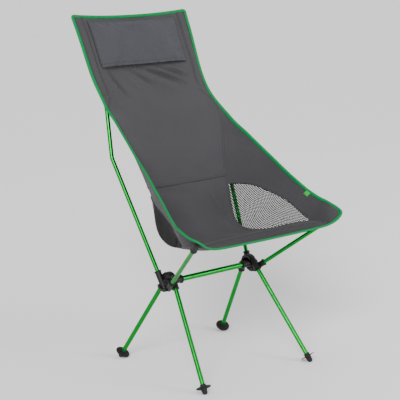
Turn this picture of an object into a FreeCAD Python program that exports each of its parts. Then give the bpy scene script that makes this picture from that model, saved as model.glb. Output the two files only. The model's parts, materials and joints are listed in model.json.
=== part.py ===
import FreeCAD, Part
import math
import os

V = FreeCAD.Vector

# Folding camp chair with a high back: a shock-corded tube frame that plugs into two hubs, and a sling
# hung on its four pole tips. Millimetres, Z up. Every station below is the chair's right half, x > 0,
# with y measured from the crossbar axis (front is -y) and z from the ground; the left half is its
# mirror image. SHIFT then moves everything so that the origin is under the middle of the chair.
SHIFT = V(0, -63.5, 0)

# Tubes and cords
CROSSBAR_R = 8.0
LEG_R = 6.5
POLE_R = 6.0
TUBE_WALL = 1.0
CORD_R = 1.3
FIT = 0.05                     # radial clearance of a tube in its socket
CROSSBAR_Z = 266.0
CROSSBAR_HALF = 140.0          # half length of the crossbar tube

# Where each tube leaves its hub socket, which way it points, and how deep it is plugged in
REAR_LEG_MOUTH, REAR_LEG_END, LEG_PLUG_DEPTH = V(155, 45, 236), V(195, 173, 23), 30.0
FRONT_LEG_MOUTH, FRONT_LEG_END = V(158, -28, 249), V(199, -195, 23)
FRONT_POLE_MOUTH, FRONT_POLE_END, FRONT_POLE_DEPTH = V(176, -34, 272), V(256.1, -239.0, 435.7), 36.0
REAR_POLE_MOUTH, REAR_POLE_DEPTH = V(170.5, 40, 291), 42.0
REAR_ELBOW = V(210.2, 198, 600.5)
REAR_UPPER_BEND = V(186, 254, 738)
REAR_POLE_END = V(186, 386.0, 984.0)
ELBOW_R = 45.0
UPPER_BEND_R = 120.0
JOINT_TO_BEND = 34.0           # from a bend to the tube joint beside it
FERRULE_HALF = 22.0

# Hub
HUB_MID = V(0, 9, 264)         # the two arches of a hub curve round this point
ARCH_OUTER, ARCH_INNER = 27.5, 18.5
INNER_LAYER = (143.5, 162.5)   # x range of the arch that joins the two leg sockets
OUTER_LAYER = (158.5, 178.0)   # x range of the arch that joins the two pole sockets
SOCKET_WALL = 3.2
SOCKET_FLOOR = 3.0
KNOT_R = 3.0

# Feet
FOOT_COLLAR, FOOT_DISC_T, FOOT_DISC_R = 7.0, 2.5, 21.5
FOOT_BALL_R, FOOT_FLAT_CUT = 7.5, 1.8

# Sling cloth
CLOTH = 1.2
TAPE = 3.0                     # thickness of the folded edge tape
TAPE_W = 7.0
SEAM_GAP = 1.2                 # between neighbouring panels and tapes
POCKET_GAP = 0.4               # between a pole and the pocket or sleeve round it

# The sling, from the top of the back to the front corner of the seat. Each station gives the outer edge,
# the side seam of the centre panel, the middle of the centre panel, and how far the mesh window reaches
# from the seam to the edge.
STATIONS = [
    (V(217, 386, 1000), V(176, 384.5, 989.5), V(0, 390, 982.6), 0.0),
    (V(212, 339, 908), V(172, 341, 908), V(0, 356, 905), 0.0),
    (V(206.5, 289, 808), V(168.5, 292, 815), V(0, 313, 812), 0.0),
    (V(204, 260, 769), V(168.5, 266, 773), V(0, 291, 770), 0.0),
    (V(205, 236, 744), V(192, 239.3, 742.2), V(0, 268, 738), 0.0),
    (V(207, 194, 712), V(194.5, 193.3, 707), V(0, 238, 696), 0.0),
    (V(208.5, 168, 695), V(187, 168, 665), V(0, 210, 650), 0.0),
    (V(212, 138, 673), V(173, 146, 623), V(0, 184, 605), 0.0),
    (V(219, 100, 649), V(159, 125, 562), V(0, 160, 555), 0.0),
    (V(225, 64, 625), V(149, 107, 516), V(0, 140, 505), 0.0),
    (V(230, 30, 603), V(146, 94, 490), V(0, 128, 480), 0.03),
    (V(238, -20, 570), V(147, 80, 432), V(0, 104, 420), 0.45),
    (V(244, -52, 548), V(147, 61, 390), V(0, 76, 376), 0.59),
    (V(249, -78, 531), V(149, 30, 373), V(0, 36, 352), 0.64),
    (V(255, -103, 515), V(157, -3, 371), V(0, -5, 346), 0.65),
    (V(262, -130, 498), V(177, -60, 381), V(0, -60, 350), 0.58),
    (V(268, -152, 487), V(205, -100, 396), V(0, -112, 367), 0.42),
    (V(273, -170, 479), V(237, -155, 411), V(0, -158, 394), 0.05),
    (V(277.5, -181, 475), V(236, -208, 420.5), V(0, -198, 425), 0.0),
    (V(280, -190, 471.5), V(226, -256, 422), V(0, -243.5, 415), 0.0)]
SEAT_SEAM = 9                  # the station where the back panel meets the seat panel
SLEEVE_FOOT = 3                # the station where the pole sleeve ends
SIDE_START = 6                 # the station where the side panel begins
MESH_START, MESH_END = 10, 17  # the stations between which the mesh window lies
SAG_POWER = 2.2                # how flat the centre panel is across its middle
# The front corner's tongue: rows from its hinge to its rim, from the side round to the front
TONGUE = [(V(270, -201, 464), V(281, -202, 467.5)), (V(262, -212, 457), V(282, -221, 462)),
          (V(254, -223, 450), V(279, -243, 455.5)), (V(246.5, -234, 443), V(272, -258, 451)),
          (V(238.5, -244.5, 434.5), V(256, -266, 439)), (V(231, -252, 427.5), V(238, -265, 429))]
# Top edge at its ends and middle, and front edge from beside the tongue to its middle
TOP_EDGE = (V(209, 386.8, 999.2), V(0, 393.5, 989.5))
FRONT_EDGE = [V(230, -265, 426), V(190, -261, 420.5), V(140, -257, 418), V(70, -253, 416), V(0, -251, 415)]
# Head pillow: where it starts and ends down the back, how wide and how thick it is
PILLOW_START, PILLOW_END, PILLOW_REACH, PILLOW_DEPTH = 12.0, 166.0, 0.93, 20.0

SLING_LIFT = (REAR_POLE_END - REAR_UPPER_BEND).normalize()


def mirrored(shape):
    return shape.mirror(V(0, 0, 0), V(1, 0, 0))


def rod(start, end, radius):
    axis = end - start
    return Part.makeCylinder(radius, axis.Length, start, axis)


def turned(start, axis, profile):
    """A solid of revolution: profile is a closed list of (distance along the axis, radius) corners."""
    points = [V(radius, 0, along) for along, radius in profile]
    face = Part.Face(Part.makePolygon(points + points[:1]))
    solid = face.revolve(V(0, 0, 0), V(0, 0, 1), 360)
    solid.Placement = FreeCAD.Placement(start, FreeCAD.Rotation(V(0, 0, 1), axis))
    return solid


def toward(a, b, distance):
    """The point that lies distance from a on the way to b."""
    step = V(b - a)
    return a + step.normalize() * distance


def bent_path(points, radii):
    """Straight runs joined by tangent arcs, one arc radius for each inner point."""
    edges, start = [], points[0]
    for before, corner, after, radius in zip(points, points[1:], points[2:], radii):
        incoming = V(corner - before).normalize()
        outgoing = V(after - corner).normalize()
        half_turn = incoming.getAngle(outgoing) / 2
        reach = radius * math.tan(half_turn)
        arc_start = corner - incoming * reach
        arc_end = corner + outgoing * reach
        inward = V(outgoing - incoming).normalize()
        arc_middle = corner + inward * (radius / math.cos(half_turn) - radius)
        edges.append(Part.LineSegment(start, arc_start).toShape())
        edges.append(Part.Arc(arc_start, arc_middle, arc_end).toShape())
        start = arc_end
    edges.append(Part.LineSegment(start, points[-1]).toShape())
    return Part.Wire(edges)


def pipe(points, radii, radius):
    if not radii:
        return rod(points[0], points[-1], radius)
    path = bent_path(points, radii)
    circle = Part.Wire(Part.makeCircle(radius, points[0], points[1] - points[0]))
    return path.makePipeShell([circle], True, False)


def tube(points, radii, radius):
    return pipe(points, radii, radius).cut(pipe(points, radii, radius - TUBE_WALL))


def between(front_rows, back_rows):
    """A closed solid between two grids of points, each a smooth surface."""
    faces = []
    for rows in (front_rows, back_rows):
        surface = Part.BSplineSurface()
        surface.interpolate(rows)
        faces.append(surface.toShape())
    sides = [Part.makeRuledSurface(a, b) for a, b in zip(faces[0].Edges, faces[1].Edges)]
    shell = Part.Shell(faces + sides)
    shell.sewShape()
    solid = Part.Solid(Part.Shell(shell.Faces))
    if solid.Volume < 0:
        solid.reverse()
    return solid


def normals(rows):
    """The unit normal at each point of a grid, on the side that a sitter touches."""
    found = []
    for i, row in enumerate(rows):
        line = []
        for j in range(len(row)):
            along = rows[min(i + 1, len(rows) - 1)][j] - rows[max(i - 1, 0)][j]
            across = row[min(j + 1, len(row) - 1)] - row[max(j - 1, 0)]
            line.append(along.cross(across).normalize())
        found.append(line)
    return found


def offset(rows, amount):
    """The grid moved along its normals by amount, a number or a function of the two indices."""
    away = amount if callable(amount) else lambda i, j: amount
    return [[point + normal * away(i, j) for j, (point, normal) in enumerate(zip(row, line))]
            for i, (row, line) in enumerate(zip(rows, normals(rows)))]


def sheet(rows, thickness):
    return between(offset(rows, thickness / 2), offset(rows, -thickness / 2))


def span(a, b, count):
    """count points or numbers from a to b, evenly spaced."""
    return [a + (b - a) * (k / (count - 1)) for k in range(count)]


def evenly(lines, count):
    """Rows of one point on each line, count of them, evenly spaced along the last line."""
    at = [0.0]
    for a, b in zip(lines[-1], lines[-1][1:]):
        at.append(at[-1] + a.distanceToPoint(b))
    curves = [Part.BSplineCurve() for _ in lines]
    for curve, line in zip(curves, lines):
        curve.interpolate(Points=line, Parameters=at)
    return [[curve.value(distance) for curve in curves] for distance in span(0, at[-1], count)]


# How far down the sling each station lies: the mean of the distances along edge, seam and middle
DOWN = [0.0]
for station, following in zip(STATIONS, STATIONS[1:]):
    DOWN.append(DOWN[-1] + sum(station[k].distanceToPoint(following[k]) for k in range(3)) / 3)


def line_through(points, first=0):
    """A smooth line through one point of each station, as a function of the distance down the sling."""
    curve = Part.BSplineCurve()
    curve.interpolate(Points=points, Parameters=DOWN[first:first + len(points)])
    return curve.value


edge_at, seam_at, middle_at = (line_through([station[k] for station in STATIONS]) for k in range(3))
mesh_at = line_through([seam + (edge - seam) * share
                        for edge, seam, _, share in STATIONS[MESH_START:MESH_END + 1]], MESH_START)


def across(side, middle, reach=1.0, count=9):
    """Points across the chair from left to right, sagging to middle; reach 1 ends at side."""
    row = []
    for share in span(-reach, reach, count):
        lift = abs(share) ** SAG_POWER
        row.append(V(side.x * share, middle.y + (side.y - middle.y) * lift, middle.z + (side.z - middle.z) * lift))
    return row


# ---- frame -------------------------------------------------------------------------------------------

def crossbar_parts():
    middle = V(0, 0, CROSSBAR_Z)
    ends = [middle + V(side * CROSSBAR_HALF, 0, 0) for side in (-1, 1)]
    bar = tube(ends, [], CROSSBAR_R)
    plug_in, plug_out, head = 118.0, 138.5, OUTER_LAYER[1] - 4
    at = V(0, 0, CROSSBAR_Z)
    plug = rod(at + V(plug_in, 0, 0), at + V(plug_out, 0, 0), CROSSBAR_R - TUBE_WALL)
    plug = plug.cut(rod(at + V(plug_in - 1, 0, 0), at + V(plug_out + 1, 0, 0), 2.5))
    screw = turned(at + V(plug_in + 2, 0, 0), V(1, 0, 0),
                   [(0, 0), (0, 2.0), (0.5, 2.5), (head - plug_in - 2, 2.5), (head - plug_in - 2, 5.8),
                    (head - plug_in + 0.2, 5.2), (head - plug_in + 1.0, 3.4), (head - plug_in + 1.0, 0)])
    screw = screw.cut(hex_recess(at + V(head - 0.6, 0, 0)))
    return {"crossbar_tube": bar,
            "crossbar_end_plugs": Part.makeCompound([plug, mirrored(plug)]),
            "hub_screws": Part.makeCompound([screw, mirrored(screw)])}


def hex_recess(start):
    corners = [start + V(0, 2 * math.cos(k * math.pi / 3), 2 * math.sin(k * math.pi / 3)) for k in range(6)]
    return Part.Face(Part.makePolygon(corners + corners[:1])).extrude(V(4, 0, 0))


def arch(layer, first, last, outer=ARCH_OUTER, inner=ARCH_INNER, round_r=3.0):
    """A band that curves round HUB_MID in the Y-Z plane, between two angles in degrees from +Y."""
    low, high = layer
    outline = [V(low, inner, 0), V(high, inner, 0), V(high, outer, 0), V(low, outer, 0)]
    solid = Part.Face(Part.makePolygon(outline + outline[:1]))
    solid = solid.revolve(V(0, 0, 0), V(1, 0, 0), last - first)
    rims = [e for e in solid.Edges if isinstance(e.Curve, Part.Circle) and abs(e.Curve.Radius - outer) < 0.01]
    solid = solid.makeFillet(round_r, rims)
    solid.rotate(V(0, 0, 0), V(1, 0, 0), first)
    solid.translate(HUB_MID)
    return solid


def socket(mouth, end, _, radius, core_length):
    """The outside of one socket, with a rounded lip at its mouth."""
    into = V(mouth - end).normalize()
    wall_r = radius + SOCKET_WALL
    return turned(mouth, into, [(0, 0), (0, wall_r + 0.7), (0.7, wall_r + 1.4), (2.6, wall_r + 1.4),
                                (3.6, wall_r), (core_length - 3, wall_r), (core_length, wall_r - 3),
                                (core_length, 0)])


def socket_bore(mouth, end, depth, radius):
    """What one socket has cut out: the tube's bore, the cord's hole in the floor and the knot's pocket."""
    into = V(mouth - end).normalize()
    return turned(mouth, into, [(-1, 0), (-1, radius + FIT + 0.5), (0.5, radius + FIT), (depth, radius + FIT),
                                (depth, CORD_R + 0.3), (depth + SOCKET_FLOOR, CORD_R + 0.3),
                                (depth + SOCKET_FLOOR, KNOT_R + 0.2),
                                (depth + SOCKET_FLOOR + 2 * KNOT_R, KNOT_R + 0.2),
                                (depth + SOCKET_FLOOR + 2 * KNOT_R, 0)])


SOCKETS = {"rear_leg": (REAR_LEG_MOUTH, REAR_LEG_END, LEG_PLUG_DEPTH, LEG_R, 44.0),
           "front_leg": (FRONT_LEG_MOUTH, FRONT_LEG_END, LEG_PLUG_DEPTH, LEG_R, 42.0),
           "front_pole": (FRONT_POLE_MOUTH, FRONT_POLE_END, FRONT_POLE_DEPTH, POLE_R, 47.0),
           "rear_pole": (REAR_POLE_MOUTH, REAR_ELBOW, REAR_POLE_DEPTH, POLE_R, 57.0)}


def hub():
    at = V(0, 0, CROSSBAR_Z)
    collar = turned(at + V(115, 0, 0), V(1, 0, 0),
                    [(0, 0), (0, 11.8), (0.8, 12.6), (3.2, 12.6), (4.2, 10.4), (46, 10.4), (46, 0)])
    plate = Part.makeCylinder(24.0, 5.0, HUB_MID + V(159, 0, 0), V(1, 0, 0))
    boss = turned(at + V(160, 0, 0), V(1, 0, 0),
                  [(0, 0), (0, 12.0), (12.5, 9.2), (14.0, 8.4), (14.0, 0)])
    body = collar.fuse([plate, boss, arch(INNER_LAYER, 28, 147), arch(OUTER_LAYER, 228, 336)]
                       + [socket(*row) for row in SOCKETS.values()])
    body = body.cut([socket_bore(*row[:4]) for row in SOCKETS.values()])
    body = body.cut(rod(at + V(110, 0, 0), at + V(CROSSBAR_HALF + 0.2, 0, 0), CROSSBAR_R + FIT))
    body = body.cut(rod(at + V(130, 0, 0), at + V(190, 0, 0), 2.6))
    return body


def knots():
    """The stopper knot of each shock cord, in the pocket behind its socket's floor."""
    found = []
    for mouth, end, depth, _, _ in SOCKETS.values():
        into = V(mouth - end).normalize()
        centre = mouth + into * (depth + SOCKET_FLOOR + KNOT_R)
        ball = Part.makeSphere(KNOT_R, centre)
        ball = ball.cut(rod(mouth, centre - into * (KNOT_R - 0.8), CORD_R + 0.05))
        found += [ball, mirrored(ball)]
    return Part.makeCompound(found)


# ---- legs --------------------------------------------------------------------------------------------

def foot(end, down):
    """A rubber foot on the leg's axis: collar, snow disc and rounded nose with a small flat to stand on."""
    ball_z = FOOT_BALL_R - FOOT_FLAT_CUT
    ball_at = (end.z - ball_z) / -down.z
    disc_at = FOOT_COLLAR + FOOT_DISC_T
    outline = [(0, 0), (0, LEG_R + 1.4), (0.8, LEG_R + 2.0), (FOOT_COLLAR, LEG_R + 2.4),
               (FOOT_COLLAR + 0.6, FOOT_DISC_R - 0.6), (FOOT_COLLAR + 1.2, FOOT_DISC_R),
               (disc_at - 0.6, FOOT_DISC_R), (disc_at, FOOT_DISC_R - 0.6), (disc_at + 0.4, 9.4),
               (ball_at, FOOT_BALL_R), (ball_at, 0)]
    body = turned(end, down, outline).fuse(Part.makeSphere(FOOT_BALL_R, end + down * ball_at))
    body = body.cut(rod(end - down, end + down * disc_at, LEG_R))
    for k in range(4):
        groove_r = 8.4 - 0.25 * k
        ring = Part.makeTorus(groove_r + 0.6, 0.55, end + down * (disc_at + 2.2 + 2.1 * k), down)
        body = body.cut(ring)
    return body.cut(Part.makeBox(200, 200, 20, V(end.x - 100, end.y - 100, -20)))


def leg(name, mouth, end):
    down = V(end - mouth).normalize()
    top = mouth - down * LEG_PLUG_DEPTH
    bottom = end + down * (FOOT_COLLAR + FOOT_DISC_T)
    plug = rod(bottom - down * 14, bottom - down * 2, LEG_R - TUBE_WALL)
    cord_start = bottom - down * 8
    cord_end = top - down * (SOCKET_FLOOR + 0.7)
    return {f"{name}_tube": tube([top, bottom], [], LEG_R),
            f"{name}_foot": foot(end, down),
            f"{name}_end_plug": plug.cut(rod(cord_start, cord_end, CORD_R)),
            f"{name}_shock_cord": rod(cord_start, cord_end, CORD_R)}


# ---- poles -------------------------------------------------------------------------------------------

def pole_tip(end, along):
    """A moulded tip: a stem inside the tube and a rounded cap over its end."""
    return turned(end, along, [(-16, 0), (-16, POLE_R - TUBE_WALL - 0.6), (-15, POLE_R - TUBE_WALL),
                               (0, POLE_R - TUBE_WALL), (0, POLE_R), (1.5, POLE_R - 0.3), (2.6, POLE_R - 1.4),
                               (3.2, POLE_R - 3), (3.2, 0)])


def front_pole():
    along = V(FRONT_POLE_END - FRONT_POLE_MOUTH).normalize()
    inner = FRONT_POLE_MOUTH - along * FRONT_POLE_DEPTH
    cord = (inner - along * (SOCKET_FLOOR + 0.7), FRONT_POLE_END - along * 8)
    return {"front_pole_tube": tube([inner, FRONT_POLE_END], [], POLE_R),
            "front_pole_tip": pole_tip(FRONT_POLE_END, along).cut(rod(*cord, CORD_R)),
            "front_pole_shock_cord": rod(*cord, CORD_R)}


def rear_pole():
    lower = V(REAR_ELBOW - REAR_POLE_MOUTH).normalize()
    inner = REAR_POLE_MOUTH - lower * REAR_POLE_DEPTH
    first_joint = toward(REAR_ELBOW, inner, JOINT_TO_BEND)
    second_joint = toward(REAR_UPPER_BEND, REAR_POLE_END, JOINT_TO_BEND)
    upper = V(REAR_POLE_END - REAR_UPPER_BEND).normalize()
    bends, radii = [REAR_ELBOW, REAR_UPPER_BEND], [ELBOW_R, UPPER_BEND_R]
    cord_route = [inner - lower * (SOCKET_FLOOR + 0.7)] + bends + [REAR_POLE_END - upper * 8]
    ferrules = []
    for joint, along in ((first_joint, lower), (second_joint, upper)):
        ends = (joint - along * FERRULE_HALF, joint + along * FERRULE_HALF * 0.6)
        sleeve = rod(*ends, POLE_R - TUBE_WALL - 0.02)
        ferrules.append(sleeve.cut(rod(*ends, POLE_R - 2.2 * TUBE_WALL)))
    cord = pipe(cord_route, radii, CORD_R)
    return {"rear_pole_lower_tube": tube([inner, first_joint], [], POLE_R),
            "rear_pole_bent_tube": tube([first_joint] + bends + [second_joint], radii, POLE_R),
            "rear_pole_upper_tube": tube([second_joint, REAR_POLE_END], [], POLE_R),
            "rear_pole_ferrules": Part.makeCompound(ferrules),
            "rear_pole_tip": pole_tip(REAR_POLE_END, upper).cut(cord),
            "rear_pole_shock_cord": cord}


# ---- sling -------------------------------------------------------------------------------------------

def centre_panel(first, last, count):
    downs = span(first, last, count)
    return sheet([across(seam_at(down), middle_at(down)) for down in downs], CLOTH)


def side_panels():
    """The side panel above the mesh window, and the mesh window itself."""
    cloth_rows, mesh_rows = [], []
    for down in span(DOWN[SIDE_START] - 6, DOWN[-1], 30):
        seam, edge = seam_at(down), edge_at(down)
        start = toward(seam, edge, SEAM_GAP)
        if DOWN[MESH_START] < down < DOWN[MESH_END]:
            start = toward(mesh_at(down), edge, SEAM_GAP)
        cloth_rows.append(span(start, toward(edge, seam, TAPE_W + SEAM_GAP), 5))
    for down in span(DOWN[MESH_START] + 3, DOWN[MESH_END] - 3, 16):
        seam, top = seam_at(down), mesh_at(down)
        mesh_rows.append(span(toward(seam, top, SEAM_GAP), top, 5))
    return {"side_panel": sheet(cloth_rows, CLOTH), "mesh_window": sheet(mesh_rows, CLOTH)}


def corner_tongue():
    """The doubled corner of the seat that the front pole's tip pushes into."""
    return {"corner_tongue": sheet([span(hinge, toward(rim, hinge, TAPE_W + 1.5 * SEAM_GAP), 4)
                                    for hinge, rim in TONGUE], CLOTH)}


def pocket(start, end, along):
    """A cloth tunnel round a pole, closed just past the pole's tip."""
    closed_end = end + along * 3.6
    outside = rod(start, closed_end + along * CLOTH, POLE_R + POCKET_GAP + CLOTH)
    return outside, rod(start - along, closed_end, POLE_R + POCKET_GAP)


def corner_pocket():
    along = V(FRONT_POLE_END - FRONT_POLE_MOUTH).normalize()
    outside, hollow = pocket(FRONT_POLE_END - along * 42, FRONT_POLE_END, along)
    return {"corner_pocket": outside.cut(hollow)}


def pole_sleeve():
    """The long pocket down each side of the upper back: a flat strip with a tunnel round the pole."""
    strip = []
    for down in span(2.0, DOWN[SLEEVE_FOOT], 8):
        seam, edge = seam_at(down), edge_at(down)
        if down == 2.0:
            edge = edge - SLING_LIFT * (TAPE_W + 1)
        strip.append(span(toward(seam, edge, SEAM_GAP), toward(edge, seam, TAPE_W + SEAM_GAP), 5))
    outside, hollow = pocket(REAR_POLE_END - SLING_LIFT * 238, REAR_POLE_END, SLING_LIFT)
    return {"pole_sleeve": sheet(strip, CLOTH).fuse(outside).cut(hollow)}


def side_tape():
    """The folded tape down one side edge and round the tongue to the front edge."""
    pairs = [(edge, seam) for edge, seam, _, _ in STATIONS] + [(rim, hinge) for hinge, rim in TONGUE]
    outer = [edge for edge, _ in pairs]
    inner = [toward(edge, seam, TAPE_W) for edge, seam in pairs]
    middle = [(a + b) / 2 for a, b in zip(inner, outer)]
    return {"edge_tape": sheet(evenly([inner, middle, outer], 56), TAPE)}


def cross_tapes():
    """The folded tapes along the top of the back and the front of the seat."""
    top_row = across(*TOP_EDGE)
    left_half = [V(-p.x, p.y, p.z) for p in FRONT_EDGE]
    front_row = left_half + FRONT_EDGE[-2::-1]
    down, back = SLING_LIFT * -TAPE_W, V(0, TAPE_W, -2.2)
    return {"top_tape": sheet([[p + down * share for p in top_row] for share in span(0, 1, 3)], TAPE),
            "front_tape": sheet([[p + back * share for p in front_row] for share in span(1, 0, 3)], TAPE)}


def pillow():
    """The pillow's cover, sewn over the upper back and open along the bottom, and the pad inside."""
    rows = [across(seam_at(down), middle_at(down), PILLOW_REACH) for down in span(PILLOW_START, PILLOW_END, 5)]
    puff_down = [0.0, 0.75, 1.0, 0.95, 0.55]

    def swollen(base, depth):
        return offset(rows, lambda i, j: base + depth * puff_down[i] * (1 - abs(j / 4 - 1) ** 4))

    return {"pillow_pad": between(swollen(2.6, PILLOW_DEPTH - 5), offset(rows, 1.4)),
            "pillow_cover": between(swollen(4.6, PILLOW_DEPTH - 4), swollen(3.6, PILLOW_DEPTH - 4))}


def label():
    """A small blank label sewn into the side tape."""
    rows = []
    for down in (DOWN[15], DOWN[16] - 14):
        edge, seam = edge_at(down), seam_at(down)
        root = toward(edge, seam, TAPE_W + 0.8)
        rows.append(span(root, toward(root, seam, 15), 3))
    return {"blank_label": between(offset(rows, 2.2), offset(rows, 1.4))}


# ---- assembly ----------------------------------------------------------------------------------------

def on_both_sides(right_side_parts):
    """Each part of the right half and its mirror image, with the side in its name."""
    both = {}
    for name, shape in right_side_parts.items():
        both[f"{name}_right"] = shape
        both[f"{name}_left"] = mirrored(shape)
    return both


def chair():
    nodes = dict(crossbar_parts())
    nodes.update(on_both_sides({"hub": hub()}))
    nodes["shock_cord_knots"] = knots()
    nodes.update(on_both_sides(leg("front_leg", FRONT_LEG_MOUTH, FRONT_LEG_END)))
    nodes.update(on_both_sides(leg("rear_leg", REAR_LEG_MOUTH, REAR_LEG_END)))
    nodes.update(on_both_sides(front_pole()))
    nodes.update(on_both_sides(rear_pole()))
    nodes["back_panel"] = centre_panel(0, DOWN[SEAT_SEAM], 16)
    nodes["seat_panel"] = centre_panel(DOWN[SEAT_SEAM] + SEAM_GAP, DOWN[-1], 22)
    for half in (side_panels, corner_tongue, corner_pocket, pole_sleeve, side_tape):
        nodes.update(on_both_sides(half()))
    nodes.update(cross_tapes())
    nodes.update(pillow())
    nodes.update(label())
    return nodes


os.makedirs("parts", exist_ok=True)
for node, shape in chair().items():
    shape.translate(SHIFT)
    shape.exportStep(f"parts/{node}.step")
    box = shape.BoundBox
    print(f"{node:32s} solids {len(shape.Solids)} valid {shape.isValid()} volume {shape.Volume:10.1f}",
          f"x {box.XMin:.1f} {box.XMax:.1f} y {box.YMin:.1f} {box.YMax:.1f} z {box.ZMin:.1f} {box.ZMax:.1f}")
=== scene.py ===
import json
import math

import bpy
import numpy as np
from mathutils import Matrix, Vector


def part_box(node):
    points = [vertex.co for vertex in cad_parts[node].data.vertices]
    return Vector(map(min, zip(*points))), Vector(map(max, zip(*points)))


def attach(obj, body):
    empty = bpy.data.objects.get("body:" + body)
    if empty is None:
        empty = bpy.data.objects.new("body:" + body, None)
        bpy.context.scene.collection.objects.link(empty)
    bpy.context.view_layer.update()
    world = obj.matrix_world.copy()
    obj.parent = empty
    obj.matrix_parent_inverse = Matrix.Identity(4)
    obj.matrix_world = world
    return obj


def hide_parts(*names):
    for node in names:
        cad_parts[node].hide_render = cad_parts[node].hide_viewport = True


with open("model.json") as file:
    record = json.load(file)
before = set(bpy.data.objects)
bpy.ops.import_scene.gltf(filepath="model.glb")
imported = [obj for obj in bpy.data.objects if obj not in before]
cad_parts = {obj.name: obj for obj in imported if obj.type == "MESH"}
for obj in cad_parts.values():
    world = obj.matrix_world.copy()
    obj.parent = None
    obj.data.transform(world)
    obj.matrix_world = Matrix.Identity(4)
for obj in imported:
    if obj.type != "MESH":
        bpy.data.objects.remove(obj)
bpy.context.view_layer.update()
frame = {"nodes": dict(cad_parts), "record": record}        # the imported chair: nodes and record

# Folding camp chair: the looks. Metres, in the frame of the imported chair. The sling is rebuilt from the
# same stations as its plain solids, given for the right half and measured from the crossbar's axis.
AXIS_Y = sum(corner.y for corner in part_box("crossbar_tube")) / 2

# Each station of the sling: outer edge, side seam, middle, and how far the mesh reaches from seam to edge
STATIONS = [
    ((.217, .386, 1.0), (.176, .3845, .9895), (0, .390, .9826), 0),
    ((.212, .339, .908), (.172, .341, .908), (0, .356, .905), 0),
    ((.2065, .289, .808), (.1685, .292, .815), (0, .313, .812), 0),
    ((.204, .260, .769), (.1685, .266, .773), (0, .291, .770), 0),
    ((.205, .236, .744), (.192, .2393, .7422), (0, .268, .738), 0),
    ((.207, .194, .712), (.1945, .1933, .707), (0, .238, .696), 0),
    ((.2085, .168, .695), (.187, .168, .665), (0, .210, .650), 0),
    ((.212, .138, .673), (.173, .146, .623), (0, .184, .605), 0),
    ((.219, .100, .649), (.159, .125, .562), (0, .160, .555), 0),
    ((.225, .064, .625), (.149, .107, .516), (0, .140, .505), 0),
    ((.230, .030, .603), (.146, .094, .490), (0, .128, .480), .03),
    ((.238, -.020, .570), (.147, .080, .432), (0, .104, .420), .45),
    ((.244, -.052, .548), (.147, .061, .390), (0, .076, .376), .59),
    ((.249, -.078, .531), (.149, .030, .373), (0, .036, .352), .64),
    ((.255, -.103, .515), (.157, -.003, .371), (0, -.005, .346), .65),
    ((.262, -.130, .498), (.177, -.060, .381), (0, -.060, .350), .58),
    ((.268, -.152, .487), (.205, -.100, .396), (0, -.112, .367), .42),
    ((.273, -.170, .479), (.237, -.155, .411), (0, -.158, .394), .05),
    ((.2775, -.181, .475), (.236, -.208, .4205), (0, -.198, .425), 0),
    ((.280, -.190, .4715), (.226, -.256, .422), (0, -.2435, .415), 0)]
# The stations where things start and end. The label lies between LABEL_STATION and the next.
SLEEVE_FOOT, SEAT_SEAM, MESH_START, LABEL_STATION, MESH_END, RIDGE = 3, 9, 10, 15, 17, 18
SAG_POWER = 2.2
# The front corner's tongue, hinge and rim, from the side round to the front
TONGUE = [((.270, -.201, .464), (.281, -.202, .4675)), ((.262, -.212, .457), (.282, -.221, .462)),
          ((.254, -.223, .450), (.279, -.243, .4555)), ((.2465, -.234, .443), (.272, -.258, .451)),
          ((.2385, -.2445, .4345), (.256, -.266, .439)), ((.231, -.252, .4275), (.238, -.265, .429))]
FRONT_EDGE = [(.230, -.265, .426), (.190, -.261, .4205), (.140, -.257, .418), (.070, -.253, .416),
              (0, -.251, .415)]
# The top edge from its middle, and the rounded corner where it meets the side
TOP_EDGE = [(0, .3935, .9895), (.105, .392, .9916), (.167, .3894, .9954), (.198, .3875, .9983)]
TOP_CORNER = [(.2095, .3862, .9982), (.2152, .3832, .9940)]
CORNER_DOWN = .016
DOWN_THE_BACK = np.array((0, -.4728, -.8811))

TAPE_W, TAPE_T = .0100, .0062
CLOTH_T = .0009
FELL_W = .009                    # width of a felled seam
STITCH_L, STITCH_GAP = .0028, .0013
POLE_R = .006
PILLOW_START, PILLOW_END, PILLOW_REACH = .012, .166, .93
PILLOW_PUFF = .015
PILLOW_EASE = .014               # how much larger than its bulged shape the cover is cut
MESH_PITCH, MESH_HOLE = .0056, .52


# ---- lines and grids -------------------------------------------------------------------------------------

def spline(at, values):
    """A natural cubic spline through values at the places at, as a function of an array of places."""
    at, values = np.asarray(at, float), np.asarray(values, float)
    step = np.diff(at)
    slope = np.diff(values, axis=0) / step[:, None]
    n = len(at)
    system, wanted = np.eye(n), np.zeros_like(values)
    for k in range(1, n - 1):
        system[k, k - 1:k + 2] = step[k - 1], 2 * (step[k - 1] + step[k]), step[k]
        wanted[k] = 6 * (slope[k] - slope[k - 1])
    bend = np.linalg.solve(system, wanted)

    def value(places):
        places = np.asarray(places, float)
        k = np.clip(np.searchsorted(at, places) - 1, 0, n - 2)
        h, a, b = step[k][..., None], (at[k + 1] - places)[..., None], (places - at[k])[..., None]
        return (bend[k] * a ** 3 + bend[k + 1] * b ** 3) / (6 * h) \
            + (values[k] / h - bend[k] * h / 6) * a + (values[k + 1] / h - bend[k + 1] * h / 6) * b
    return value


def lengths(points):
    """How far along a line of points each one lies."""
    return np.concatenate([[0], np.cumsum(np.linalg.norm(np.diff(points, axis=0), axis=1))])


def unit(vectors):
    return vectors / np.maximum(np.linalg.norm(vectors, axis=-1, keepdims=True), 1e-12)


def in_frame(points):
    return np.asarray(points, float) + (0, AXIS_Y, 0)


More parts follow.
